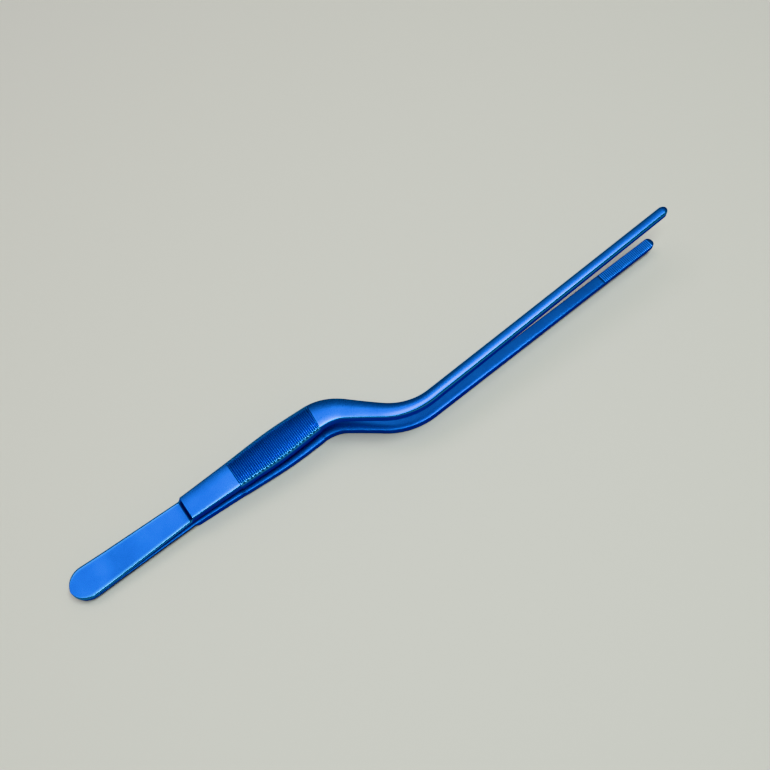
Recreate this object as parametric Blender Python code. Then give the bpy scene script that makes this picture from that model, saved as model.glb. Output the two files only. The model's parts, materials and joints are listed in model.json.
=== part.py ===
"""Offset aquascaping tweezers: two sprung steel arms, welded at the heel, with ribbed grips and toothed jaws.

Design frame, in metres: X runs from the heel towards the tips, Y is across the arms and Z is the way they
open, with the arms mirrored about Z = 0.  A root empty then lays the tweezers on one arm, on a table at Z = 0.

Each arm is one piece of steel on the real tool.  It bends in the thin leaf near the heel, so it is split
there: the heel leaf stays with the heel, and the rest of the arm turns about the middle of the leaf.
"""

import math

import bmesh
import bpy
from mathutils import Matrix, Vector

MM = 0.001

# Plan of the arm's centreline, heel to tip: straight handle, two bends, straight jaw
ARM_LENGTH = 240.0 * MM
HANDLE_LENGTH = 93.0 * MM
FIRST_BEND_RADIUS = 17.0 * MM
FIRST_BEND_ANGLE = math.radians(40.5)
OFFSET_RUN = 12.4 * MM
SECOND_BEND_RADIUS = 23.5 * MM
SECOND_BEND_ANGLE = math.radians(43.2)
FIRST_BEND_END = HANDLE_LENGTH + FIRST_BEND_RADIUS * FIRST_BEND_ANGLE
SECOND_BEND_START = FIRST_BEND_END + OFFSET_RUN
SECOND_BEND_END = SECOND_BEND_START + SECOND_BEND_RADIUS * SECOND_BEND_ANGLE

# Heel: two thin leaves with a rounded end, welded round their rim
LEAF_THICKNESS = 1.2 * MM
SEAM_GAP = 0.3 * MM
HEEL_WIDTH = 11.1 * MM
HEEL_ROUND_LENGTH = 6.0 * MM
LEAF_END_WIDTH = 8.5 * MM
WELD_END = 14.0 * MM
WELD_RADIUS = 0.35 * MM
WELD_GAP = 0.3 * MM
WELD_INSET = 0.45 * MM

# Where the leaf bends, and the gap that parts the two bodies there
FLEX_STATION = 27.0 * MM
FLEX_GAP = 0.3 * MM

# The shoulder where the leaf becomes the thick handle
STEP_STATION = 42.8 * MM
STEP_RUN = 1.5 * MM

# Ribbed grip
GRIP_START = 62.5 * MM
RIB_PITCH = 1.45 * MM
RIB_COUNT = 22
GROOVE_WIDTH = 0.75 * MM
GROOVE_FLOOR = 0.35 * MM
GROOVE_DEPTH = 0.35 * MM
GROOVE_SIDE_SHARE = 0.4
GRIP_SWELL = 0.5 * MM
GRIP_END = GRIP_START + RIB_COUNT * RIB_PITCH
GRIP_MIDDLE = (GRIP_START + GRIP_END) / 2

# Toothed jaw
TOOTH_PITCH = 0.75 * MM
TOOTH_COUNT = 32
TOOTH_DEPTH = 0.3 * MM
TOOTH_MOUTH = 0.5 * MM
TIP_SPACE = 1.2 * MM
TIP_ROUND_LENGTH = 1.9 * MM
TIP_NOSE = 0.5 * MM

# Rounding of the section
SHOULDER_RADIUS = 0.6 * MM
LEAF_EDGE_RADIUS = 0.4 * MM
INNER_EDGE_RADIUS = 0.25 * MM
FLAT_SHARE = 0.45
SHOULDER_TURNS = (math.radians(40), math.radians(75))
SHOULDER_LIMIT = 0.7
INNER_EDGE_LIMIT = 0.3

# Shortest step between two rings, and the run of a sharp step across the arm
SHORTEST_RUN = 0.005 * MM
SHARP_RUN = 0.02 * MM

# Width of the thick part of the arm, by distance along the centreline
BODY_WIDTHS = (
    (STEP_STATION, 8.4 * MM),
    (GRIP_START, 9.5 * MM),
    (GRIP_MIDDLE, 10.6 * MM),
    (GRIP_END, 9.15 * MM),
    (FIRST_BEND_END, 6.7 * MM),
    (SECOND_BEND_START, 5.05 * MM),
    (SECOND_BEND_END, 4.0 * MM),
    (ARM_LENGTH, 3.4 * MM),
)

# How far the outer face of the thick part curves down from its middle to its edges
CROWN_DROPS = (
    (STEP_STATION, 0.3 * MM),
    (GRIP_START, 0.42 * MM),
    (GRIP_MIDDLE, 0.5 * MM),
    (FIRST_BEND_END, 0.45 * MM),
    (SECOND_BEND_START, 0.4 * MM),
    (SECOND_BEND_END, 0.26 * MM),
    (ARM_LENGTH, 0.08 * MM),
)

# The thick part's outer face is straight from the shoulder to the end of the bends, and the tool lies on it
REST_HEIGHT_AT_HEEL = 2.8 * MM
REST_TILT = math.radians(3.1)


def smooth(points, at):
    """A smooth curve through the points that never overshoots them, straight on past both ends."""
    slopes = [(b[1] - a[1]) / (b[0] - a[0]) for a, b in zip(points, points[1:])]
    if at <= points[0][0]:
        return points[0][1] + slopes[0] * (at - points[0][0])
    if at >= points[-1][0]:
        return points[-1][1] + slopes[-1] * (at - points[-1][0])
    tangents = [slopes[0]]
    for before, after in zip(slopes, slopes[1:]):
        level = before * after <= 0
        tangents.append(0.0 if level else 2 * before * after / (before + after))
    tangents.append(slopes[-1])
    index = max(i for i, point in enumerate(points) if point[0] <= at)
    (x0, y0), (x1, y1) = points[index], points[index + 1]
    span = x1 - x0
    t = (at - x0) / span
    rise = y0 + (y1 - y0) * t * t * (3 - 2 * t)
    start = tangents[index] * span * t * (1 - t) ** 2
    end = tangents[index + 1] * span * t * t * (t - 1)
    return rise + start + end


def path_at(distance):
    """Place and heading of the centreline in plan, at a distance from the heel."""
    bends = (
        (HANDLE_LENGTH, 0.0),
        (FIRST_BEND_END - HANDLE_LENGTH, -1 / FIRST_BEND_RADIUS),
        (OFFSET_RUN, 0.0),
        (SECOND_BEND_END - SECOND_BEND_START, 1 / SECOND_BEND_RADIUS),
        (ARM_LENGTH, 0.0),
    )
    x = y = heading = 0.0
    for length, curvature in bends:
        run = min(distance, length)
        turned = heading + curvature * run
        if curvature:
            x += (math.sin(turned) - math.sin(heading)) / curvature
            y -= (math.cos(turned) - math.cos(heading)) / curvature
        else:
            x += run * math.cos(heading)
            y += run * math.sin(heading)
        heading = turned
        distance -= run
        if distance <= 0:
            break
    return x, y, heading


def rest_height(x):
    """Height of the resting plane over the mid plane."""
    return REST_HEIGHT_AT_HEEL + x * math.tan(REST_TILT)


# Side view, by X: heights of the inner face, and of the jaw's outer face, over the mid plane
ELBOW_X = path_at(SECOND_BEND_START)[0]
REST_END_X = path_at(SECOND_BEND_END)[0]
TIP_X = path_at(ARM_LENGTH)[0]
JAW_MIDDLE_X = (REST_END_X + TIP_X) / 2
INNER_HEIGHTS = (
    (WELD_END, SEAM_GAP / 2),
    (STEP_STATION, 1.5 * MM),
    (GRIP_MIDDLE, 3.1 * MM),
    (ELBOW_X, 4.75 * MM),
    (REST_END_X, 5.5 * MM),
    (JAW_MIDDLE_X, 7.8 * MM),
    (TIP_X, 9.9 * MM),
)
JAW_HEIGHTS = (
    (REST_END_X, rest_height(REST_END_X)),
    (JAW_MIDDLE_X, 11.15 * MM),
    (TIP_X, 12.7 * MM),
)


def inner_height(x):
    """Inner face over the mid plane: the leaves lie together as far as the weld goes."""
    return SEAM_GAP / 2 if x <= WELD_END else smooth(INNER_HEIGHTS, x)


def body_height(x):
    """Outer face of the thick part over the mid plane."""
    return rest_height(x) if x <= REST_END_X else smooth(JAW_HEIGHTS, x)


def step_share(distance):
    """0 on the leaf and 1 on the handle, with a hollow fillet between."""
    share = min(max((distance - STEP_STATION) / STEP_RUN, 0.0), 1.0)
    return 1 - math.cos(share * math.pi / 2)


def end_share(distance):
    """How much of its full width the arm has left, at the rounded heel and tip."""
    heel = min(distance / HEEL_ROUND_LENGTH, 1.0)
    tip = min((ARM_LENGTH - distance) / TIP_ROUND_LENGTH, 1.0)
    return math.sqrt(1 - (1 - heel) ** 2) * math.sqrt(1 - (1 - tip) ** 2)


def half_width(distance):
    """Half the arm's width, without the grip's swell."""
    leaf = HEEL_WIDTH + (LEAF_END_WIDTH - HEEL_WIDTH) * max(distance - HEEL_ROUND_LENGTH, 0) / (
        STEP_STATION - HEEL_ROUND_LENGTH)
    body = smooth(BODY_WIDTHS, max(distance, STEP_STATION))
    share = step_share(distance)
    return (leaf * (1 - share) + body * share) / 2 * end_share(distance)


def groove_corners():
    """Distances of each grip groove's mouth and floor, start to end."""
    land = (RIB_PITCH - GROOVE_WIDTH) / 2
    flank = (GROOVE_WIDTH - GROOVE_FLOOR) / 2
    for rib in range(RIB_COUNT):
        start = GRIP_START + rib * RIB_PITCH + land
        yield start, start + flank, start + GROOVE_WIDTH - flank, start + GROOVE_WIDTH


def groove_drop(distance):
    """Depth of the grip's grooves at a distance."""
    for mouth, floor, floor_end, mouth_end in groove_corners():
        if floor <= distance <= floor_end:
            return GROOVE_DEPTH
    return 0.0


def grip_swell(distance):
    """Extra half width of the ribbed length."""
    return GRIP_SWELL / 2 if GRIP_START <= distance <= GRIP_END else 0.0


def section(distance, side):
    """Ring of points round the arm at a distance: flat inner face, sides, shoulders and crowned outer face."""
    x, y, heading = path_at(distance)
    share = step_share(distance)
    width = half_width(distance) + grip_swell(distance)
    drop = groove_drop(distance)
    radius = LEAF_EDGE_RADIUS + (SHOULDER_RADIUS - LEAF_EDGE_RADIUS) * share
    radius = min(radius, SHOULDER_LIMIT * width)
    inner_radius = min(INNER_EDGE_RADIUS, INNER_EDGE_LIMIT * width)
    crown = smooth(CROWN_DROPS, max(distance, STEP_STATION)) * share
    nose = TIP_NOSE * (1 - end_share(max(distance, ARM_LENGTH - TIP_ROUND_LENGTH)))

    def place(across, height_of):
        px = x - across * math.sin(heading)
        py = y + across * math.cos(heading)
        return Vector((px, py, side * height_of(px)))

    def inner(px):
        return inner_height(px) + nose / 2

    def outer(px):
        leaf = inner_height(px) + LEAF_THICKNESS
        return leaf * (1 - share) + body_height(px) * share - nose

    ring = [place(-width + inner_radius, inner), place(width - inner_radius, inner)]
    half = [(width, lambda px: inner(px) + inner_radius)]
    half.append((width - drop * GROOVE_SIDE_SHARE, lambda px: outer(px) - crown - radius))
    for turn in SHOULDER_TURNS:
        across = width - radius * (1 - math.cos(turn)) - drop * math.cos(turn)
        lift = crown + radius * (1 - math.sin(turn)) + drop * math.sin(turn)
        half.append((across, lambda px, lift=lift: outer(px) - lift))
    half.append((FLAT_SHARE * (width - radius), lambda px: outer(px) - drop))
    ring += [place(across, height) for across, height in half]
    ring += [place(-across, height) for across, height in reversed(half)]
    return ring


def stations(start, end):
    """Distances of the rings between two ends, close together where the shape changes."""
    marks = [start, end]
    turns = [math.radians(angle) for angle in (12, 30, 50, 70, 90)]
    marks += [HEEL_ROUND_LENGTH * (1 - math.cos(turn)) for turn in turns]
    marks += [ARM_LENGTH - TIP_ROUND_LENGTH * (1 - math.cos(turn)) for turn in turns]
    marks += [WELD_END, (WELD_END + FLEX_STATION) / 2, (FLEX_STATION + STEP_STATION) / 2]
    marks += [STEP_STATION + STEP_RUN * part for part in (0.0, 0.4, 0.7, 1.0)]
    marks += [(STEP_STATION + STEP_RUN + GRIP_START) / 2, GRIP_START - SHARP_RUN, GRIP_START]
    for corners in groove_corners():
        marks += corners
    marks += [GRIP_END, GRIP_END + SHARP_RUN]
    jaw_end = ARM_LENGTH - TIP_ROUND_LENGTH
    for bend, bend_end, count in ((HANDLE_LENGTH, FIRST_BEND_END, 7), (FIRST_BEND_END, SECOND_BEND_START, 3),
                                  (SECOND_BEND_START, SECOND_BEND_END, 7), (SECOND_BEND_END, jaw_end, 10)):
        marks += [bend + (bend_end - bend) * step / count for step in range(count)]
    marks = sorted(mark for mark in marks if start <= mark <= end)
    return [mark for mark, after in zip(marks, marks[1:] + [math.inf]) if after - mark > SHORTEST_RUN]


def loft(name, start, end, side, origin):
    """Closed body through the arm's sections from start to end, with its origin at the joint."""
    mesh = bmesh.new()
    rings = []
    for distance in stations(start, end):
        rings.append([mesh.verts.new(point - origin) for point in section(distance, side)])
    for ring, following in zip(rings, rings[1:]):
        for index in range(len(ring)):
            after = (index + 1) % len(ring)
            mesh.faces.new((ring[index], ring[after], following[after], following[index]))
    mesh.faces.new(reversed(rings[0]))
    mesh.faces.new(rings[-1])
    bmesh.ops.recalc_face_normals(mesh, faces=mesh.faces)
    data = bpy.data.meshes.new(name)
    mesh.to_mesh(data)
    mesh.free()
    piece = bpy.data.objects.new(name, data)
    piece.location = origin
    data.shade_smooth()
    data.set_sharp_from_angle(angle=math.radians(35))
    return piece


def tooth_cutter(name, side, shift):
    """One V groove for each tooth gap, across the inner face near the tip."""
    mesh = bmesh.new()
    length = 3 * half_width(ARM_LENGTH - TIP_ROUND_LENGTH)
    # A three-sided prism whose point is TOOTH_DEPTH in the steel and whose back is as far outside it
    scale = Matrix.Diagonal((2 * TOOTH_MOUTH / math.sqrt(3), 4 * TOOTH_DEPTH / 3, 1, 1))
    upright = Matrix.Translation((0, 0, -TOOTH_DEPTH / 3)) @ Matrix.Rotation(math.radians(90), 4, "X")
    for tooth in range(TOOTH_COUNT):
        distance = ARM_LENGTH - TIP_SPACE - (tooth + shift) * TOOTH_PITCH
        x, y, heading = path_at(distance)
        slope = math.atan2(inner_height(x + MM) - inner_height(x), MM)
        place = Matrix.Translation((x, y, side * inner_height(x))) @ Matrix.Rotation(heading, 4, "Z")
        place = place @ Matrix.Diagonal((1, 1, side, 1)) @ Matrix.Rotation(-slope, 4, "Y")
        bmesh.ops.create_cone(
            mesh, cap_ends=True, segments=3, radius1=1.0, radius2=1.0, depth=length,
            matrix=place @ upright @ scale)
    bmesh.ops.recalc_face_normals(mesh, faces=mesh.faces)
    data = bpy.data.meshes.new(name)
    mesh.to_mesh(data)
    mesh.free()
    return bpy.data.objects.new(name, data)


def rim_curve(name, radius):
    """Round bar just inside the heel's rim in the mid plane, from one side of the heel to the other."""
    across = half_width(HEEL_ROUND_LENGTH) - WELD_INSET
    along = HEEL_ROUND_LENGTH - WELD_INSET
    rim = [(HEEL_ROUND_LENGTH - along * math.cos(turn), across * math.sin(turn))
           for turn in (math.radians(15 * step) for step in range(1, 7))]
    rim.append((WELD_END, half_width(WELD_END) - WELD_INSET))
    points = [(x, -y) for x, y in reversed(rim)] + [(WELD_INSET, 0.0)] + rim
    curve = bpy.data.curves.new(name, "CURVE")
    curve.dimensions = "3D"
    curve.bevel_depth = radius
    curve.bevel_resolution = 2
    curve.use_fill_caps = True
    spline = curve.splines.new("POLY")
    spline.points.add(len(points) - 1)
    for place, (x, y) in zip(spline.points, points):
        place.co = (x, y, 0.0, 1.0)
    return bpy.data.objects.new(name, curve)


def to_mesh(curve_object, collection):
    """The curve object as a mesh with welded caps."""
    collection.objects.link(curve_object)
    bpy.context.view_layer.update()
    graph = bpy.context.evaluated_depsgraph_get()
    data = bpy.data.meshes.new_from_object(curve_object.evaluated_get(graph))
    mesh = bmesh.new()
    mesh.from_mesh(data)
    bmesh.ops.remove_doubles(mesh, verts=mesh.verts, dist=0.01 * MM)
    bmesh.ops.recalc_face_normals(mesh, faces=mesh.faces)
    mesh.to_mesh(data)
    mesh.free()
    name = curve_object.name
    bpy.data.objects.remove(curve_object)
    data.name = name
    piece = bpy.data.objects.new(name, data)
    collection.objects.link(piece)
    return piece


def cut(piece, cutter):
    """Takes the cutter's shape out of the piece."""
    modifier = piece.modifiers.new(cutter.name, "BOOLEAN")
    modifier.operation = "DIFFERENCE"
    modifier.solver = "EXACT"
    modifier.object = cutter


def hide(cutter):
    """Marks a cutter as a guide that isn't part of the object."""
    cutter.hide_render = True
    cutter.display_type = "WIRE"


def steel(name, colour, roughness):
    """Metal material of one colour."""
    material = bpy.data.materials.new(name)
    material.use_nodes = True
    shader = material.node_tree.nodes["Principled BSDF"]
    shader.inputs["Base Color"].default_value = (*colour, 1.0)
    shader.inputs["Metallic"].default_value = 1.0
    shader.inputs["Roughness"].default_value = roughness
    return material


def flex_axis(side):
    """Middle of the leaf where the arm bends."""
    return Vector((FLEX_STATION, 0.0, side * (inner_height(FLEX_STATION) + LEAF_THICKNESS / 2)))


def lay_on_table(root, pieces):
    """Turns the root onto the resting plane, with the middle of the object's footprint at the origin."""
    root.rotation_euler = (0.0, -REST_TILT, 0.0)
    bpy.context.view_layer.update()
    graph = bpy.context.evaluated_depsgraph_get()
    corners = []
    for piece in pieces:
        solid = piece.evaluated_get(graph)
        corners += [solid.matrix_world @ vert.co for vert in solid.data.vertices]
    low = [min(corner[axis] for corner in corners) for axis in range(3)]
    high = [max(corner[axis] for corner in corners) for axis in range(3)]
    root.location = (-(low[0] + high[0]) / 2, -(low[1] + high[1]) / 2, -low[2])
    bpy.context.view_layer.update()


def build():
    """Makes the tweezers."""
    for item in list(bpy.data.objects):
        bpy.data.objects.remove(item)
    tweezers = bpy.data.collections.new("aquascaping_tweezers")
    cutters = bpy.data.collections.new("cutters")
    for collection in (tweezers, cutters):
        bpy.context.scene.collection.children.link(collection)

    root = bpy.data.objects.new("tweezers", None)
    tweezers.objects.link(root)
    rim_cutter = to_mesh(rim_curve("rim_groove", WELD_RADIUS + WELD_GAP), cutters)
    hide(rim_cutter)
    rim_cutter.parent = root

    pieces = []
    for side, word, tooth_shift in ((1, "upper", 0.0), (-1, "lower", 0.5)):
        leaf = loft(f"{word}_heel_leaf", SHARP_RUN, FLEX_STATION - FLEX_GAP / 2, side, Vector((0, 0, 0)))
        cut(leaf, rim_cutter)
        leaf.data.materials.append(steel(f"{word}_leaf_steel", (0.055, 0.22, 0.91), 0.3))
        arm = loft(f"{word}_arm", FLEX_STATION + FLEX_GAP / 2, ARM_LENGTH - SHARP_RUN, side, flex_axis(side))
        teeth = tooth_cutter(f"{word}_tooth_gaps", side, tooth_shift)
        cutters.objects.link(teeth)
        hide(teeth)
        teeth.parent = root
        cut(arm, teeth)
        arm.data.materials.append(steel(f"{word}_arm_steel", (0.0, 0.08, 0.52), 0.28))
        for piece in (leaf, arm):
            tweezers.objects.link(piece)
            piece.parent = root
            pieces.append(piece)

    weld = to_mesh(rim_curve("heel_weld", WELD_RADIUS), tweezers)
    weld.data.materials.append(steel("weld_steel", (0.01, 0.05, 0.3), 0.4))
    weld.parent = root
    pieces.append(weld)
    lay_on_table(root, pieces)


build()
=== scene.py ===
"""Offset aquascaping tweezers with a satin blue metallic coating, lying on one arm on a pale table.

Two spring arms, each one piece of steel from heel to tip, are welded together round the rim of the heel.
Each arm has a thin leaf that flexes, a shoulder, a thick handle with a ribbed grip, an offset bend and a
slim jaw whose last stretch is toothed.

The shapes are worked out in the maker's frame: X along the handle from the heel, Y across the arms and Z the
way they open, mirrored about Z = 0.  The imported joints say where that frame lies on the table.
"""

import json
import logging
import math
from dataclasses import dataclass, field
from enum import Enum
from typing import Optional, Sequence

import bmesh
import bpy
from mathutils import Matrix, Vector


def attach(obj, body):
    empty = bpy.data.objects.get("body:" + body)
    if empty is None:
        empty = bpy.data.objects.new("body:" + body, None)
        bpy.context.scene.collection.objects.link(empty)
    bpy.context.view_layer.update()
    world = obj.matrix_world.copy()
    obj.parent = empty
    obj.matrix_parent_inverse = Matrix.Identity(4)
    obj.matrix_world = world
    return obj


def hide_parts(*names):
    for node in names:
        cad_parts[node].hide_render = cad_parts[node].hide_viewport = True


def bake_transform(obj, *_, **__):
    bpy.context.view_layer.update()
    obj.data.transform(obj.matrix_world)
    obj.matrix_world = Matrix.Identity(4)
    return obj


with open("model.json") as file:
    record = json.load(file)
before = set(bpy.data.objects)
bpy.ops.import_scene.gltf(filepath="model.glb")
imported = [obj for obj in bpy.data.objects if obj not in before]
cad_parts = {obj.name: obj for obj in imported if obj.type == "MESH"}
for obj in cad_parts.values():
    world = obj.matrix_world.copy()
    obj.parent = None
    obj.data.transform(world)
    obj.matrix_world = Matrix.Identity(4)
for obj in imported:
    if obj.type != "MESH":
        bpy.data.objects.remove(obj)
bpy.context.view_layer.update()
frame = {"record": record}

MM = 0.001

# Mesh attribute that marks the outer edges, which the coating colours paler: partly polish from handling,
# partly a painted highlight.
POLISH_AND_HIGHLIGHT = "polish_and_highlight_edge"

log = logging.getLogger("tweezers")

Table = Sequence[tuple[float, float]]


class Side(Enum):
    """The two arms, as the tweezers lie."""

    UPPER = 1
    LOWER = -1

    @property
    def word(self) -> str:
        """The arm's name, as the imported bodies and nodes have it."""
        return self.name.lower()


def smooth(points: Table, at: float) -> float:
    """Reads a smooth curve through points that never overshoots them, straight on past both ends.

    Args:
        points: Places and values, in order of place.
        at: The place to read.

    Returns:
        The curve's value there.
    """
    slopes = [(b[1] - a[1]) / (b[0] - a[0]) for a, b in zip(points, points[1:])]
    if at <= points[0][0]:
        return points[0][1] + slopes[0] * (at - points[0][0])
    if at >= points[-1][0]:
        return points[-1][1] + slopes[-1] * (at - points[-1][0])
    tangents = [slopes[0]]
    for before, after in zip(slopes, slopes[1:]):
        level = before * after <= 0
        tangents.append(0.0 if level else 2 * before * after / (before + after))
    tangents.append(slopes[-1])
    index = max(i for i, point in enumerate(points) if point[0] <= at)
    (x0, y0), (x1, y1) = points[index], points[index + 1]
    span = x1 - x0
    t = (at - x0) / span
    rise = y0 + (y1 - y0) * t * t * (3 - 2 * t)
    return rise + span * t * (1 - t) * (tangents[index] * (1 - t) - tangents[index + 1] * t)


def ease(share: float) -> float:
    """A soft start and a soft stop between 0 and 1."""
    share = min(max(share, 0.0), 1.0)
    return share * share * (3 - 2 * share)


@dataclass(frozen=True)
class ArmPlan:
    """Plan of an arm's centreline: straight handle, first bend, offset run, second bend, straight jaw."""

    length: float = 240.0 * MM
    handle: float = 93.0 * MM
    first_radius: float = 17.0 * MM
    first_angle: float = math.radians(40.5)
    offset_run: float = 12.4 * MM
    second_radius: float = 23.5 * MM
    second_angle: float = math.radians(43.2)

    @property
    def first_end(self) -> float:
        """Distance at which the first bend ends."""
        return self.handle + self.first_radius * self.first_angle

    @property
    def second_start(self) -> float:
        """Distance at which the second bend starts."""
        return self.first_end + self.offset_run

    @property
    def second_end(self) -> float:
        """Distance at which the second bend ends."""
        return self.second_start + self.second_radius * self.second_angle

    def at(self, distance: float) -> tuple[float, float, float]:
        """Follows the centreline from the heel.

        Args:
            distance: Distance along the centreline.

        Returns:
            X and Y there, and the heading in radians.
        """
        x = y = heading = 0.0
        runs = (
            (self.handle, 0.0),
            (self.first_end - self.handle, -1 / self.first_radius),
            (self.offset_run, 0.0),
            (self.second_end - self.second_start, 1 / self.second_radius),
            (self.length, 0.0),
        )
        for length, curvature in runs:
            run = min(distance, length)
            turned = heading + curvature * run
            if curvature:
                x += (math.sin(turned) - math.sin(heading)) / curvature
                y -= (math.cos(turned) - math.cos(heading)) / curvature
            else:
                x += run * math.cos(heading)
                y += run * math.sin(heading)
            heading = turned
            distance -= run
            if distance <= 0:
                break
        return x, y, heading


@dataclass(frozen=True)
class Grip:
    """Ribs across the handle.

    Each rib is a hollow finger: two thin raised edges that run across the arm and join in a round end over
    the shoulder.

    Attributes:
        start: Distance from the heel at which the ribs start.
        pitch: Distance from rib to rib.
        count: Number of ribs.
        depth: Depth of the grooves between and inside the raised edges.
        swell: How far the grip stands out on each side.
        finger: How far down the shoulder the ribs run straight, before their round ends.
        shoulder_radius: Radius of the shoulder that the ribs wrap over.
        cuts: Sections per rib.
    """

    start: float = 62.5 * MM
    pitch: float = 1.45 * MM
    count: int = 22
    depth: float = 0.26 * MM
    swell: float = 0.25 * MM
    finger: float = 0.3 * MM
    shoulder_radius: float = 1.0 * MM
    cuts: int = 12

    @property
    def end(self) -> float:
        """Distance at which the grip ends."""
        return self.start + self.count * self.pitch

    @property
    def middle(self) -> float:
        """Distance of the grip's middle."""
        return (self.start + self.end) / 2

    def covers(self, distance: float) -> bool:
        """Whether a distance lies in the grip."""
        return self.start <= distance <= self.end

    def rib(self, distance: float, below: float) -> float:
        """How high the ribs' raised edges stand at a place.

        Args:
            distance: Distance along the arm.
            below: How far down over the shoulder the place is.

        Returns:
            1 on the crest of an edge, 0 in a groove and beyond a rib's round end.
        """
        across = (distance - self.start) % self.pitch - self.pitch / 2
        away = math.hypot(across, max(below - self.finger, 0.0))
        reach = self.pitch / 4
        return math.cos(math.pi / 2 * min(abs(away - reach) / reach, 1.0))

    def stations(self) -> list[float]:
        """Distances of the sections that draw the ribs."""
        return spread(self.start, self.end, self.count * self.cuts)


@dataclass(frozen=True)
class Teeth:
    """Sharp cross teeth on a jaw's inner face, with round hollows between them."""

    pitch: float = 0.75 * MM
    count: int = 32
    depth: float = 0.13 * MM
    cuts: int = 8
    tip_space: float = 1.2 * MM
    fade: float = 1.2 * MM

    def start(self, length: float, side: Side) -> float:
        """Distance at which the teeth start: those of the two jaws are half a pitch apart."""
        shift = 0.0 if side is Side.UPPER else 0.5
        return length - self.tip_space - (self.count + shift) * self.pitch

    def drop(self, distance: float, start: float) -> float:
        """Depth of the hollows at a distance, when the teeth start at another."""
        along = (distance - start) / self.pitch
        return self.depth * abs(math.sin(math.pi * along)) if 0 <= along <= self.count else 0.0

    def stations(self, start: float) -> list[float]:
        """Distances of the sections that draw the teeth."""
        return spread(start, start + self.count * self.pitch, self.count * self.cuts)


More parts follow.
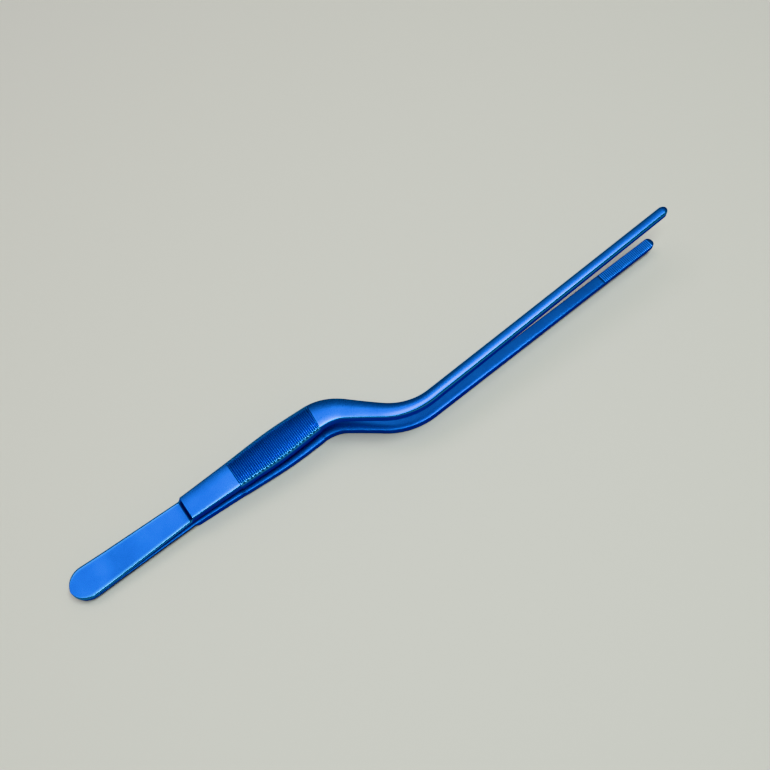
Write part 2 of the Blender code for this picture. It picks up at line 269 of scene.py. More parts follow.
@dataclass(frozen=True)
class ArmShape:
    """Sizes of an arm's section along its length.

    Attributes:
        weld_end: How far from the heel the two leaves lie together under the edge weld.
        flex_station: Middle of the stretch of leaf that flexes.
        step: Distance at which the leaf ends and the thick handle starts.
        rest_height: Height of the handle's outer face at the heel.
        rest_tilt: Rise of that face towards the elbow, which is the plane the lower arm lies on.
        tip_nose: How much lower the outer face is at the very tip.
        nose_lift: Share of that by which the inner face is raised there.
        leaf_radius, shoulder_radius, jaw_radius: Outer edge on the leaf, the handle and the jaw.
        inner_radius, jaw_inner_radius: Inner edge on the handle and the jaw.
        jaw_flare: Extra width of the lower jaw's inner face.
        flare_run: Length over which that width comes in.
        trim: How far a section stands off a sudden change of shape.
    """

    plan: ArmPlan = ArmPlan()
    grip: Grip = Grip()
    teeth: Teeth = Teeth()
    leaf_thickness: float = 1.2 * MM
    seam_gap: float = 0.3 * MM
    heel_width: float = 11.1 * MM
    heel_round: float = 6.0 * MM
    leaf_end_width: float = 8.5 * MM
    weld_end: float = 14.0 * MM
    flex_station: float = 27.0 * MM
    step: float = 42.8 * MM
    step_run: float = 1.5 * MM
    rest_height: float = 2.8 * MM
    rest_tilt: float = math.radians(3.1)
    tip_round: float = 1.9 * MM
    tip_nose: float = 0.5 * MM
    nose_lift: float = 0.5
    leaf_radius: float = 0.65 * MM
    shoulder_radius: float = 0.4 * MM
    jaw_radius: float = 0.85 * MM
    inner_radius: float = 0.04 * MM
    jaw_inner_radius: float = 0.2 * MM
    jaw_flare: float = 0.45 * MM
    flare_run: float = 38.0 * MM
    trim: float = 0.01 * MM

    def widths(self) -> Table:
        """Width of the thick part, by distance."""
        plan, grip = self.plan, self.grip
        return (
            (self.step, 8.4 * MM), (grip.start, 9.5 * MM), (grip.middle, 10.6 * MM), (grip.end, 9.15 * MM),
            (plan.first_end, 6.7 * MM), (plan.second_start, 5.05 * MM), (plan.second_end, 4.0 * MM),
            (plan.length, 3.4 * MM))

    def crowns(self) -> Table:
        """How far the outer face curves down from its middle to its edges, by distance."""
        plan, grip = self.plan, self.grip
        return (
            (self.step, 0.3 * MM), (grip.start, 0.42 * MM), (grip.middle, 0.5 * MM), (grip.end, 0.5 * MM),
            (plan.first_end, 0.45 * MM), (plan.second_start, 0.4 * MM), (plan.second_end, 0.26 * MM),
            (plan.second_end + 25 * MM, 0.12 * MM), (plan.length, 0.08 * MM))

    def inner_heights(self) -> Table:
        """Height of the inner face over the mid plane, by X."""
        rest_end, tip = self.plan.at(self.plan.second_end)[0], self.plan.at(self.plan.length)[0]
        return (
            (self.weld_end, self.seam_gap / 2), (self.step, 1.5 * MM), (self.grip.middle, 3.1 * MM),
            (self.plan.at(self.plan.second_start)[0], 4.75 * MM), (rest_end, 5.5 * MM),
            ((rest_end + tip) / 2, 7.8 * MM), (tip, 9.9 * MM))

    def jaw_heights(self) -> Table:
        """Height of the jaw's outer face over the mid plane, by X."""
        rest_end, tip = self.plan.at(self.plan.second_end)[0], self.plan.at(self.plan.length)[0]
        return ((rest_end, self.rest(rest_end)), ((rest_end + tip) / 2, 11.15 * MM), (tip, 12.7 * MM))

    def rest(self, x: float) -> float:
        """Height of the plane that the lower arm lies on."""
        return self.rest_height + x * math.tan(self.rest_tilt)

    def inner(self, x: float) -> float:
        """Height of the inner face: the leaves lie together as far as the weld goes."""
        return self.seam_gap / 2 if x <= self.weld_end else smooth(self.inner_heights(), x)

    def body(self, x: float) -> float:
        """Height of the thick part's outer face."""
        straight = x <= self.jaw_heights()[0][0]
        return self.rest(x) if straight else smooth(self.jaw_heights(), x)

    def step_share(self, distance: float) -> float:
        """0 on the leaf and 1 on the handle, with a hollow fillet between."""
        share = min(max((distance - self.step) / self.step_run, 0.0), 1.0)
        return 1 - math.cos(share * math.pi / 2)

    def end_share(self, distance: float) -> float:
        """How much of its full width the arm has left, at the rounded heel and tip.

        Args:
            distance: Distance along the arm.

        Returns:
            1 along most of the arm, falling to 0 at both ends.
        """
        heel = min(distance / self.heel_round, 1.0)
        tip = min((self.plan.length - distance) / self.tip_round, 1.0)
        return math.sqrt(1 - (1 - heel) ** 2) * math.sqrt(1 - (1 - tip) ** 2)

    def half_width(self, distance: float) -> float:
        """Half the arm's width, without the ribs' ends.

        Args:
            distance: Distance along the arm.

        Returns:
            Half the width there, in metres.
        """
        straight = max(distance - self.heel_round, 0.0) / (self.step - self.heel_round)
        leaf = self.heel_width + (self.leaf_end_width - self.heel_width) * straight
        share = self.step_share(distance)
        body = smooth(self.widths(), max(distance, self.step))
        return (leaf * (1 - share) + body * share) / 2 * self.end_share(distance)

    def outer_radius(self, distance: float) -> float:
        """Radius of the edge between the outer face and the side.

        Args:
            distance: Distance along the arm.

        Returns:
            The radius there, in metres.
        """
        if self.grip.covers(distance):
            return self.grip.shoulder_radius
        share, slim = self.step_share(distance), self.slimness(distance)
        body = self.shoulder_radius * (1 - slim) + self.jaw_radius * slim
        return self.leaf_radius * (1 - share) + body * share

    def inner_edge(self, distance: float) -> float:
        """Radius of the edge between the inner face and the side."""
        slim = self.slimness(distance)
        return self.inner_radius * (1 - slim) + self.jaw_inner_radius * slim

    def slimness(self, distance: float) -> float:
        """0 on the handle and 1 on the jaw, changing over the second bend."""
        return ease((distance - self.plan.second_start) / (self.plan.second_end - self.plan.second_start))

    def flare(self, distance: float, side: Side) -> float:
        """How much wider the lower jaw's inner face is on its far side than on its near one.

        Args:
            distance: Distance along the arm.
            side: The arm.

        Returns:
            The extra width there, in metres.
        """
        if side is Side.UPPER:
            return 0.0
        return self.jaw_flare * ease((distance - self.plan.second_end + self.flare_run / 2) / self.flare_run)

    def flex_point(self, side: Side) -> Vector:
        """Middle of the leaf where the arm flexes, in the maker's frame."""
        height = self.inner(self.flex_station) + self.leaf_thickness / 2
        return Vector((self.flex_station, 0.0, side.value * height))


@dataclass(frozen=True)
class Placing:
    """Where the maker's frame lies on the table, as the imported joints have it."""

    shape: ArmShape

    @property
    def matrix(self) -> Matrix:
        """Turns the maker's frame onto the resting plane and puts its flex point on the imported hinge.

        Returns:
            The matrix from the maker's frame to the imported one.
        """
        turn = Matrix.Rotation(-self.shape.rest_tilt, 4, "Y")
        joints = frame["record"]["behaviour"]["joints"]
        hinge = next(joint for joint in joints if joint["name"] == "upper_flex")
        start = turn @ self.shape.flex_point(Side.UPPER)
        return Matrix.Translation(Vector(hinge["pos_m"]) - start) @ turn

    def point(self, x: float, y: float = 0.0, z: float = 0.0) -> Vector:
        """A point of the maker's frame, on the table."""
        return self.matrix @ Vector((x, y, z))


@dataclass(frozen=True)
class RingPoint:
    """One point of a section.

    Attributes:
        across: Distance from the centreline.
        share: 0 for a height that follows the inner face, 1 for the outer face.
        lift: Height added to that.
        facing: Angle of the surface's normal over the horizontal, in radians.
        below: How far down over the shoulder from the outer face's edge the point is.
    """

    across: float
    share: float
    lift: float
    facing: float
    below: float = 0.0


class Sweep:
    """A body grown from one filled ring by extruding it from station to station."""

    def __init__(self, name: str, ring: Sequence[Vector], polish_and_highlight: Sequence[float]) -> None:
        """Starts with a filled circle laid on the first ring's points.

        Args:
            name: The piece's name.
            ring: Points of the first section.
            polish_and_highlight: How polished each point's edge is and how much painted highlight its colour
                gets; every further section copies it.
        """
        bpy.ops.object.select_all(action="DESELECT")
        bpy.ops.mesh.primitive_circle_add(vertices=len(ring), radius=1 * MM, fill_type="NGON")
        self.piece = bpy.context.object
        self.piece.name = self.piece.data.name = name
        bpy.ops.object.mode_set(mode="EDIT")
        self.work = bmesh.from_edit_mesh(self.piece.data)
        layer = self.work.verts.layers.float.new(POLISH_AND_HIGHLIGHT)
        self.ring = list(self.work.verts)
        for vert, share in zip(self.ring, polish_and_highlight):
            vert[layer] = share
        self._place(ring)

    def _place(self, ring: Sequence[Vector]) -> None:
        """Moves the open end's points to a section."""
        for vert, point in zip(self.ring, ring):
            vert.co = point

    def grow(self, ring: Sequence[Vector]) -> None:
        """Extrudes the open end to the next section.

        Args:
            ring: Points of that section.
        """
        bpy.ops.mesh.extrude_region_move()
        self.work = bmesh.from_edit_mesh(self.piece.data)
        partners = []
        for vert in self.ring:
            partners.append(next(edge.other_vert(vert) for edge in vert.link_edges
                                 if edge.other_vert(vert).select))
        self.ring = partners
        self._place(ring)

    def close(self) -> bpy.types.Object:
        """Turns the faces outwards and leaves edit mode.

        Returns:
            The finished piece.
        """
        bpy.ops.mesh.select_all(action="SELECT")
        bpy.ops.mesh.normals_make_consistent(inside=False)
        bpy.ops.object.mode_set(mode="OBJECT")
        return self.piece


def sweep_rings(name: str, rings: Sequence[Sequence[Vector]], polish_and_highlight: Sequence[float]) -> bpy.types.Object:
    """Extrudes a body through a list of rings.

    Args:
        name: The piece's name.
        rings: Points of each ring, all the same number and in the same order.
        polish_and_highlight: How polished the edge along each of a ring's points is and how much painted
            highlight its colour gets, from 0 to 1.

    Returns:
        The closed piece, with its faces pointing out.
    """
    sweep = Sweep(name, rings[0], polish_and_highlight)
    for ring in rings[1:]:
        sweep.grow(ring)
    return sweep.close()


@dataclass
class SpringArm:
    """One arm, from its rounded heel to its rounded tip, as one piece of steel.

    Attributes:
        side: Which arm it is.
        shape: Its sizes.
        placing: Where it lies.
        side_steps: Heights of the side's points, closest together under the shoulder, where the ribs end.
        arc_steps: Points round the outer edge.
        crown_steps: Places of the outer face's points between its edge and its middle.
        inner_turns: Points round the inner edge, in degrees.
        crown_limit, inner_limit, outer_limit: Largest crown and edges, as shares of half the width.
        end_turns: Degrees round the heel and the tip at which there are sections.
        leaf_cuts, step_cuts, neck_cuts, elbow_cuts, offset_cuts, bend_cuts, jaw_cuts: Sections of each
            stretch.
        blend_margin: Length of leaf beside the weld kept out of the stretch whose ends go to bake_transform,
            which ignores them.
        sharp_angle: Angle in degrees over which an edge stays sharp.
    """

    side: Side
    shape: ArmShape
    placing: Placing
    side_steps: Sequence[float] = (1.0, 0.7, 0.5, 0.42, 0.36, 0.3, 0.24, 0.18, 0.12, 0.06, 0.0)
    arc_steps: int = 10
    crown_steps: Sequence[float] = (1.0, 0.85, 0.7, 0.5, 0.3, 0.15)
    inner_turns: Sequence[float] = (0.0, 30.0, 60.0)
    crown_limit: float = 0.3
    inner_limit: float = 0.4
    outer_limit: float = 0.6
    end_turns: Sequence[int] = tuple(range(0, 91, 6))
    leaf_cuts: int = 18
    step_cuts: int = 14
    neck_cuts: int = 9
    elbow_cuts: int = 9
    offset_cuts: int = 9
    bend_cuts: int = 16
    jaw_cuts: int = 34
    blend_margin: float = 1.0 * MM
    sharp_angle: float = 38.0
    piece: Optional[bpy.types.Object] = field(default=None, init=False)

    def half_section(self, distance: float) -> list[RingPoint]:
        """One half of the arm's section, from the inner face's edge up the side to the crown.

        Args:
            distance: Distance along the arm.

        Returns:
            The half's points, without the two on the centreline.
        """
        shape = self.shape
        x = shape.plan.at(distance)[0]
        share = shape.step_share(distance)
        width = shape.half_width(distance)
        tall = shape.leaf_thickness * (1 - share) + (shape.body(x) - shape.inner(x)) * share
        crown = smooth(shape.crowns(), max(distance, shape.step)) * share
        crown = min(crown, self.crown_limit * width)
        round_in = min(shape.inner_edge(distance), self.inner_limit * width)
        round_out = min(shape.outer_radius(distance), self.outer_limit * width)
        slope = math.atan2(2 * crown, width - round_out)
        drop = crown + round_out * math.cos(slope)
        points = []
        for turn in self.inner_turns:
            angle = math.radians(turn)
            points.append(RingPoint(width - round_in * (1 - math.sin(angle)), 0.0,
                                    round_in * (1 - math.cos(angle)), angle - math.pi / 2))
        side_length = tall - round_in - drop
        arc = math.pi / 2 - slope
        for step in self.side_steps:
            points.append(RingPoint(width, 1 - step, round_in * step - drop * (1 - step), 0.0,
                                    round_out * arc + side_length * step))
        for step in range(1, self.arc_steps + 1):
            angle = arc * step / self.arc_steps
            points.append(RingPoint(width - round_out * (1 - math.cos(angle)), 1.0,
                                    round_out * math.sin(angle) - drop, angle, round_out * (arc - angle)))
        edge = width - round_out * (1 - math.sin(slope))
        for step in self.crown_steps[1:]:
            points.append(RingPoint(edge * step, 1.0, -crown * step * step, math.pi / 2))
        return points

    def section(self, distance: float, teeth: float) -> list[Vector]:
        """Points of the arm's section at a distance, in the maker's frame.

        Args:
            distance: Distance along the arm.
            teeth: Distance at which the jaw's teeth start.

        Returns:
            The ring's points.
        """
        shape, grip = self.shape, self.shape.grip
        x, y, heading = shape.plan.at(distance)
        share = shape.step_share(distance)
        nose = shape.tip_nose * (1 - shape.end_share(max(distance, shape.plan.length - shape.tip_round)))
        bite = shape.teeth.drop(distance, teeth)
        ribbed = grip.covers(distance)
        width = shape.half_width(distance)
        flare = shape.flare(distance, self.side)

        def place(point: RingPoint, hand: int) -> Vector:
            """Puts a point of the section in the maker's frame, with its ribs, teeth, flare and nose.

            Args:
                point: The point.
                hand: 1 for the far half of the section and -1 for the near one.

            Returns:
                The point's place.
            """
            across, lift = point.across, point.lift
            if ribbed and point.facing < 0:
                across += grip.swell * min(across / width, 1.0)
            elif ribbed:
                cut = (1 - grip.rib(distance, point.below)) * grip.depth * math.sin(point.facing)
                out = grip.swell * math.cos(point.facing) - cut
                across += out * math.cos(point.facing)
                lift += out * math.sin(point.facing)
            if hand > 0:
                across += flare * (1 - point.share) * min(across / width, 1.0)
            px = x - hand * across * math.sin(heading)
            py = y + hand * across * math.cos(heading)
            inner = shape.inner(px)
            outer = (inner + shape.leaf_thickness) * (1 - share) + shape.body(px) * share
            over = inner * (1 - point.share) + outer * point.share + lift - inner
            height = inner + over + bite * max(0.0, 1 - over / shape.teeth.fade)
            height += nose * (shape.nose_lift - (1 + shape.nose_lift) * min(over / (outer - inner), 1.0))
            return Vector((px, py, self.side.value * height))

        half = self.half_section(distance)
        floor, top = RingPoint(0.0, 0.0, 0.0, -math.pi / 2), RingPoint(0.0, 1.0, 0.0, math.pi / 2)
        ring = [place(floor, 1)]
        ring += [place(point, 1) for point in half]
        ring.append(place(top, 1))
        ring += [place(point, -1) for point in reversed(half)]
        return ring

    def edge_polish_and_highlight(self, point: RingPoint) -> float:
        """How much handling has polished a point of the section, which also sets its painted highlight: most
        half-way round an outer edge.
        """
        return math.sin(2 * point.facing) if 0 < point.facing < math.pi / 2 else 0.0

    def stations(self, teeth: float) -> list[float]:
        """Distances of the sections, close together where the shape changes.

        Args:
            teeth: Distance at which the jaw's teeth start.

        Returns:
            The distances, from heel to tip.
        """
        shape, plan, grip = self.shape, self.shape.plan, self.shape.grip
        turns = [math.radians(turn) for turn in self.end_turns]
        marks = [shape.heel_round * (1 - math.cos(turn)) for turn in turns]
        marks += [plan.length - shape.tip_round * (1 - math.cos(turn)) for turn in turns]
        marks += spread(shape.heel_round, shape.step, self.leaf_cuts)
        marks += spread(shape.step, shape.step + shape.step_run, self.step_cuts)
        marks += spread(shape.step + shape.step_run, grip.start, self.neck_cuts)
        marks += [grip.start - shape.trim] + grip.stations() + [grip.end + shape.trim]
        marks += spread(grip.end, plan.first_end, self.elbow_cuts)
        marks += spread(plan.first_end, plan.second_start, self.offset_cuts)
        marks += spread(plan.second_start, plan.second_end, self.bend_cuts)
        marks += spread(plan.second_end, plan.length - shape.tip_round, self.jaw_cuts)
        marks += shape.teeth.stations(teeth)
        marks = sorted(mark for mark in marks if shape.trim <= mark <= plan.length - shape.trim)
        keep = [shape.trim]
        for mark in marks:
            if mark - keep[-1] > shape.trim / 2:
                keep.append(mark)
        return keep + [plan.length - shape.trim]

    def model(self) -> bpy.types.Object:
        """Extrudes the arm through its sections.

        Returns:
            The arm, in place on the table.
        """
        teeth = self.shape.teeth.start(self.shape.plan.length, self.side)
        place = self.placing.matrix
        rings = [[place @ point for point in self.section(distance, teeth)]
                 for distance in self.stations(teeth)]
        # The outer edges get a paler colour: partly polish from handling, partly a painted highlight.
        half = [self.edge_polish_and_highlight(point) for point in self.half_section(self.shape.grip.middle)]
        polish_and_highlight = [0.0] + half + [0.0] + half[::-1]
        self.piece = sweep_rings(f"{self.side.word}_spring_arm", rings, polish_and_highlight)
        shade(self.piece, self.sharp_angle)
        return self.piece

    def dress(self, finish: bpy.types.Material) -> None:
        """Gives the arm its finish and bakes its transform into its mesh.

        Args:
            finish: The arm's material.
        """
        self.piece.data.materials.append(finish)
        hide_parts(f"{self.side.word}_heel_leaf", f"{self.side.word}_arm")
        shape = self.shape
        height = self.side.value * (shape.inner(shape.flex_station) + shape.leaf_thickness / 2)
        reach = shape.flex_station - shape.weld_end - self.blend_margin
        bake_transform(self.piece, "heel", f"{self.side.word}_arm",
                 start=self.placing.point(shape.flex_station - reach, 0.0, height),
                 end=self.placing.point(shape.flex_station + reach, 0.0, height))


@dataclass
class HeelWeld:
    """The fused bead that joins the two leaves round the heel's rim, with the faint scallops of its passes.

    Attributes:
        shape: The arms' sizes.
        placing: Where it lies.
        inset: Distance of the bead's middle from the leaves' rim.
        radius: The bead's radius on the crest of a scallop.
        scallop: Depth of the dips between scallops.
        scallop_pitch: Distance from scallop to scallop.
        taper: Length over which the bead starts.
        end_size: The bead's size at its ends.
        sides: Points round the bead.
        turn_step: Degrees between the sections round the heel.
        turn_count: Sections on each side of the heel's middle.
        side_cuts: Sections along each side.
        sharp_angle: Angle in degrees over which an edge stays sharp.
    """

    shape: ArmShape
    placing: Placing
    inset: float = 0.42 * MM
    radius: float = 0.36 * MM
    scallop: float = 0.035 * MM
    scallop_pitch: float = 0.55 * MM
    taper: float = 1.0 * MM
    end_size: float = 0.4
    sides: int = 12
    turn_step: float = 2.5
    turn_count: int = 36
    side_cuts: int = 40
    sharp_angle: float = 60.0
    piece: Optional[bpy.types.Object] = field(default=None, init=False)

    def route(self) -> list[tuple[float, float]]:
        """Follows the rim from one side of the heel to the other.

        Returns:
            X and Y of the bead's centreline.
        """
        shape = self.shape
        along, across = shape.heel_round - self.inset, shape.half_width(shape.heel_round) - self.inset
        last = self.turn_count
        turns = [math.radians(self.turn_step * step) for step in range(-last, last + 1)]
        bow = [(shape.heel_round - along * math.cos(turn), across * math.sin(turn)) for turn in turns]
        runs = spread(shape.heel_round, shape.weld_end, self.side_cuts)[1:]
        side = [(x, shape.half_width(x) - self.inset) for x in runs]
        return [(x, -y) for x, y in reversed(side)] + bow + side

    def model(self) -> bpy.types.Object:
        """Extrudes the bead along its route.

        Returns:
            The bead, in place on the table.
        """
        route = self.route()
        place = self.placing.matrix
        rings, run = [], 0.0
        for index, (x, y) in enumerate(route):
            before, after = route[max(index - 1, 0)], route[min(index + 1, len(route) - 1)]
            heading = math.atan2(after[1] - before[1], after[0] - before[0])
            if index:
                run += math.dist(route[index - 1], (x, y))
            grown = ease(run / self.taper) if index < len(route) - 1 else 0.0
            radius = self.radius - self.scallop * abs(math.sin(math.pi * run / self.scallop_pitch))
            radius *= self.end_size + (1 - self.end_size) * grown
            ring = []
            for side in range(self.sides):
                turn = 2 * math.pi * side / self.sides
                out, rise = radius * math.cos(turn), radius * math.sin(turn)
                ring.append(place @ Vector((x + out * math.sin(heading), y - out * math.cos(heading), rise)))
            rings.append(ring)
        self.piece = sweep_rings("heel_edge_weld", rings, [0.0] * self.sides)
        shade(self.piece, self.sharp_angle)
        return self.piece

    def dress(self, finish: bpy.types.Material) -> None:
        """Gives the bead its finish and fixes it to the heel.

        Args:
            finish: The bead's material.
        """
        self.piece.data.materials.append(finish)
        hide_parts("heel_weld")
        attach(self.piece, "heel")


def spread(start: float, end: float, count: int) -> list[float]:
    """Evenly spaced values from start to end, both included."""
    return [start + (end - start) * step / count for step in range(count + 1)]


def shade(piece: bpy.types.Object, angle: float) -> None:
    """Shades a piece smooth, with its sharper edges left sharp.

    Args:
        piece: The piece.
        angle: Angle over which an edge stays sharp, in degrees.
    """
    bpy.ops.object.select_all(action="DESELECT")
    piece.select_set(True)
    bpy.context.view_layer.objects.active = piece
    bpy.ops.object.shade_smooth_by_angle(angle=math.radians(angle))


def linear(colour: str) -> tuple[float, float, float, float]:
    """Turns an sRGB hex colour into the linear values a shader takes.

    Args:
        colour: The colour, as "#RRGGBB".

    Returns:
        Red, green, blue and full alpha.
    """
    parts = [int(colour[index:index + 2], 16) / 255 for index in (1, 3, 5)]
    low = [part / 12.92 if part <= 0.04045 else ((part + 0.055) / 1.055) ** 2.4 for part in parts]
    return (low[0], low[1], low[2], 1.0)


def add_node(tree: bpy.types.NodeTree, kind: str, settings: Optional[dict] = None,
             inputs: Optional[dict] = None) -> bpy.types.Node:
    """Adds a node with its settings, values and links.

    Args:
        tree: The tree that gets the node.
        kind: The node's type name.
        settings: Attributes to set.
        inputs: Values, or sockets to link from, by input name or number.

    Returns:
        The node.
    """
    node = tree.nodes.new(kind)
    for name, value in (settings or {}).items():
        setattr(node, name, value)
    for name, value in (inputs or {}).items():
        if isinstance(value, bpy.types.NodeSocket):
            tree.links.new(value, node.inputs[name])
        else:
            node.inputs[name].default_value = value
    return node


@dataclass(frozen=True)
class CoatedSteel:
    """Stainless steel, bead-blasted satin, under a thin hard metallic blue coating.

    The coating is thin enough to show the blasted grain, which spreads highlights softly, and its blue
    drifts a little with its thickness.  Handling polishes the edges, which are glossier and coloured paler,
    partly for the polish and partly as a painted highlight.

    Attributes:
        colour, thick_colour, polish_and_highlight_colour: The coating where it is thin, thick, and on a
        polished edge, where the paler colour is partly polish and partly a painted highlight.
        edge_tint: Its colour at a grazing angle.
        roughness, roughness_spread: Its roughness, and how far the grain changes that.
        worn_gloss: How much smoother a polished edge is.
        grain, grain_height: Size and height of the blasted grain.
        fleck: How much the grain lightens and darkens the colour.
        drift: Size of the patches of thinner and thicker coating.
        drift_span, grain_span: The part of each noise's range that is used.
    """

    name: str = "coated_steel"
    colour: str = "#2E66BA"
    thick_colour: str = "#2A5DAF"
    polish_and_highlight_colour: str = "#58A0DA"
    edge_tint: str = "#4C7AC0"
    roughness: float = 0.29
    roughness_spread: float = 0.04
    worn_gloss: float = 0.08
    # Blasted grain is commonly about 0.05 mm, too fine to show, so it is drawn about four times as coarse.
    grain: float = 0.22 * MM
    grain_height: float = 0.003 * MM
    fleck: float = 0.12
    drift: float = 9.0 * MM
    drift_span: tuple[float, float] = (0.35, 0.65)
    grain_span: tuple[float, float] = (0.3, 0.7)

    def build(self) -> bpy.types.Material:
        """Makes the material.

        Returns:
            The material, on Object coordinates.
        """
        material = bpy.data.materials.new(self.name)
        material.use_nodes = True
        tree = material.node_tree
        shader = tree.nodes["Principled BSDF"]
        place = add_node(tree, "ShaderNodeTexCoord").outputs["Object"]
        drift = add_node(tree, "ShaderNodeTexNoise", inputs={
            "Vector": place, "Scale": 1 / self.drift, "Detail": 3.0, "Roughness": 0.5})
        grain = add_node(tree, "ShaderNodeTexNoise", inputs={
            "Vector": place, "Scale": 1 / self.grain, "Detail": 4.0, "Roughness": 0.62})
        (thin, thick), (low, high) = self.drift_span, self.grain_span
        blend = add_node(tree, "ShaderNodeMapRange", inputs={
            "Value": drift.outputs["Fac"], "From Min": thin, "From Max": thick})
        colour = add_node(tree, "ShaderNodeMix", {"data_type": "RGBA"}, {
            0: blend.outputs["Result"], 6: linear(self.colour), 7: linear(self.thick_colour)})
        # Paler colour on the outer edges: partly polish from handling, partly a painted highlight.
        edge = add_node(tree, "ShaderNodeAttribute", {"attribute_name": POLISH_AND_HIGHLIGHT}).outputs["Fac"]
        polished_and_highlit_colour = add_node(tree, "ShaderNodeMix", {"data_type": "RGBA"}, {
            0: edge, 6: colour.outputs[2], 7: linear(self.polish_and_highlight_colour)})
        fleck = add_node(tree, "ShaderNodeMapRange", inputs={
            "Value": grain.outputs["Fac"], "From Min": low, "From Max": high,
            "To Min": 1 - self.fleck, "To Max": 1 + self.fleck})
        flecked = add_node(tree, "ShaderNodeVectorMath", {"operation": "SCALE"}, {
            0: polished_and_highlit_colour.outputs[2], "Scale": fleck.outputs["Result"]})
        dull = add_node(tree, "ShaderNodeMapRange", inputs={
            "Value": grain.outputs["Fac"], "From Min": low, "From Max": high,
            "To Min": self.roughness - self.roughness_spread,
            "To Max": self.roughness + self.roughness_spread})
        gloss = add_node(tree, "ShaderNodeMath", {"operation": "MULTIPLY_ADD"}, {
            0: edge, 1: -self.worn_gloss, 2: dull.outputs["Result"]})
        bump = add_node(tree, "ShaderNodeBump", inputs={
            "Height": grain.outputs["Fac"], "Distance": self.grain_height, "Strength": 1.0})
        tree.links.new(flecked.outputs[0], shader.inputs["Base Color"])
        tree.links.new(gloss.outputs[0], shader.inputs["Roughness"])
        tree.links.new(bump.outputs["Normal"], shader.inputs["Normal"])
        shader.inputs["Metallic"].default_value = 1.0
        shader.inputs["Specular Tint"].default_value = linear(self.edge_tint)
        return material


@dataclass(frozen=True)
class TableTop:
    """Plain pale matt table top with a barely visible tooth."""

    name: str = "pale_table"
    colour: str = "#C9BBB7"
    roughness: float = 0.75
    tooth: float = 1.2 * MM
    tooth_height: float = 0.02 * MM

    def build(self) -> bpy.types.Material:
        """Makes the material.

        Returns:
            The material, on Object coordinates.
        """
        material = bpy.data.materials.new(self.name)
        material.use_nodes = True
        tree = material.node_tree
        shader = tree.nodes["Principled BSDF"]
        place = add_node(tree, "ShaderNodeTexCoord").outputs["Object"]
        tooth = add_node(tree, "ShaderNodeTexNoise", inputs={"Vector": place, "Scale": 1 / self.tooth})
        bump = add_node(tree, "ShaderNodeBump", inputs={
            "Height": tooth.outputs["Fac"], "Distance": self.tooth_height, "Strength": 0.5})
        tree.links.new(bump.outputs["Normal"], shader.inputs["Normal"])
        shader.inputs["Base Color"].default_value = linear(self.colour)
        shader.inputs["Roughness"].default_value = self.roughness
        return material


@dataclass(frozen=True)
class SoftBox:
    """A rectangular studio light aimed at the tweezers.

    Attributes:
        azimuth: Compass direction of the light from the object, in degrees.
        elevation: Its height over the table, in degrees.
        distance: Its distance, in metres.
        width: Its side across its heading, in metres.
        depth: Its other side, in metres.
        power: Its power, in watts.
        colour: Its colour.
    """

    name: str
    azimuth: float
    elevation: float
    distance: float
    width: float
    depth: float
    power: float
    colour: str = "#FFFFFF"

    def build(self) -> None:
        """Puts the light in the scene."""
        lamp = bpy.data.lights.new(self.name, "AREA")
        lamp.shape = "RECTANGLE"
        lamp.size, lamp.size_y = self.width, self.depth
        lamp.energy = self.power
        lamp.color = linear(self.colour)[:3]
        light = bpy.data.objects.new(self.name, lamp)
        bpy.context.scene.collection.objects.link(light)
        away = heading_vector(self.azimuth, self.elevation)
        light.location = away * self.distance
        light.rotation_euler = away.to_track_quat("Z", "Y").to_euler()


def heading_vector(azimuth: float, elevation: float) -> Vector:
    """Points a unit vector in a direction.

    Args:
        azimuth: Compass direction in degrees: 0 is +Y and 90 is +X.
        elevation: Height over the table in degrees.

    Returns:
        The vector.
    """
    turn, rise = math.radians(azimuth), math.radians(elevation)
    return Vector((math.sin(turn) * math.cos(rise), math.cos(turn) * math.cos(rise), math.sin(rise)))


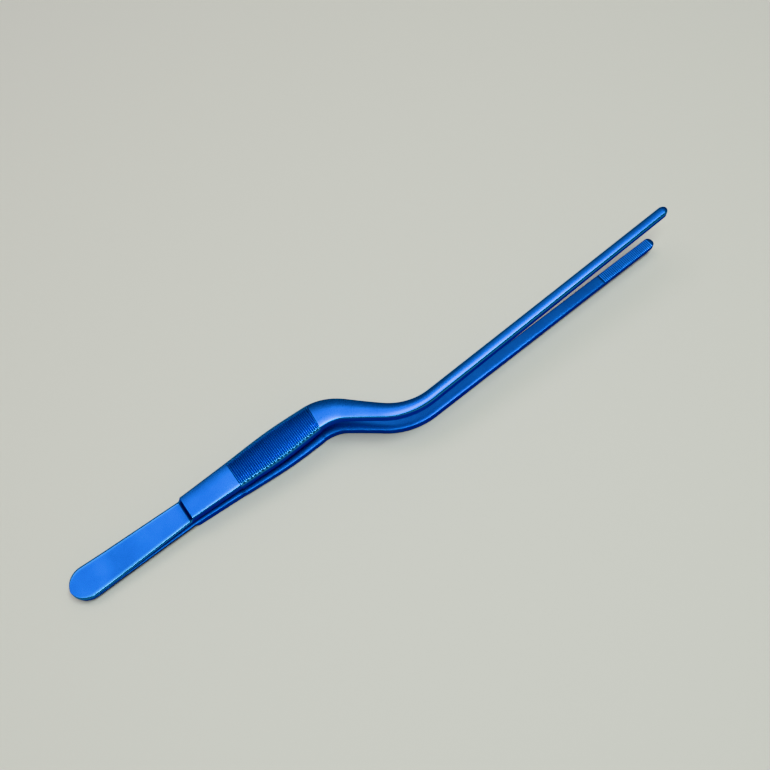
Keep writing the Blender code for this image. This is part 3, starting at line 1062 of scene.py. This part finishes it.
@dataclass
class Studio:
    """Table, soft light and camera."""

    floor_size: float = 6.0
    sky: str = "#E8EEF5"
    sky_strength: float = 0.18
    lights: Sequence[SoftBox] = (
        SoftBox("overhead_bar", azimuth=165.0, elevation=82.0, distance=1.1, width=0.95, depth=0.26,
                power=12.0, colour="#E6FFF8"),
        SoftBox("heel_fill", azimuth=-32.0, elevation=66.0, distance=1.1, width=0.55, depth=0.55, power=2.2),
        SoftBox("jaw_fill", azimuth=48.0, elevation=65.0, distance=1.1, width=0.55, depth=0.55, power=0.75),
    )
    camera_place: tuple[float, float, float] = (-0.0655, -0.0972, 0.2947)
    camera_turn: float = 34.17
    camera_drop: float = 66.73
    camera_roll: float = 1.92
    lens: float = 42.8
    sensor: float = 36.0

    def floor(self) -> None:
        """Lays the table top under the object."""
        bpy.ops.object.select_all(action="DESELECT")
        bpy.ops.mesh.primitive_plane_add(size=self.floor_size)
        plane = bpy.context.object
        plane.name = "table_top"
        plane.data.materials.append(TableTop().build())

    def light(self) -> None:
        """Lights the scene softly from overhead."""
        world = bpy.data.worlds.new("soft_room")
        world.use_nodes = True
        back = world.node_tree.nodes["Background"]
        back.inputs["Color"].default_value = linear(self.sky)
        back.inputs["Strength"].default_value = self.sky_strength
        bpy.context.scene.world = world
        for box in self.lights:
            box.build()

    def camera(self) -> None:
        """Sets the camera over the handle, looking down along the jaws."""
        lens = bpy.data.cameras.new("camera")
        lens.lens, lens.sensor_width = self.lens, self.sensor
        lens.clip_start, lens.clip_end = 0.01, 20.0
        camera = bpy.data.objects.new("camera", lens)
        bpy.context.scene.collection.objects.link(camera)
        camera.location = self.camera_place
        forward = heading_vector(self.camera_turn, -self.camera_drop)
        upright = (-forward).to_track_quat("Z", "Y").to_matrix().to_4x4()
        roll = Matrix.Rotation(math.radians(-self.camera_roll), 4, "Z")
        camera.rotation_euler = (upright @ roll).to_euler()
        bpy.context.scene.camera = camera

    def build(self) -> None:
        """Sets up the studio."""
        self.camera()
        self.floor()
        self.light()
        bpy.context.scene.view_settings.view_transform = "Khronos PBR Neutral"


def main() -> None:
    """Builds the tweezers and the studio."""
    logging.basicConfig(level=logging.INFO, format="%(name)s: %(message)s")
    Studio().build()
    shape = ArmShape()
    placing = Placing(shape)
    finish = CoatedSteel().build()
    weld_finish = CoatedSteel(name="weld_seam", colour="#26559C", thick_colour="#214A8C",
                              roughness=0.5).build()
    for side in Side:
        arm = SpringArm(side, shape, placing)
        arm.model()
        arm.dress(finish)
        log.info("%s: %d faces", arm.piece.name, len(arm.piece.data.polygons))
    weld = HeelWeld(shape, placing)
    weld.model()
    weld.dress(weld_finish)
    log.info("%s: %d faces", weld.piece.name, len(weld.piece.data.polygons))


if __name__ == "__main__":
    main()
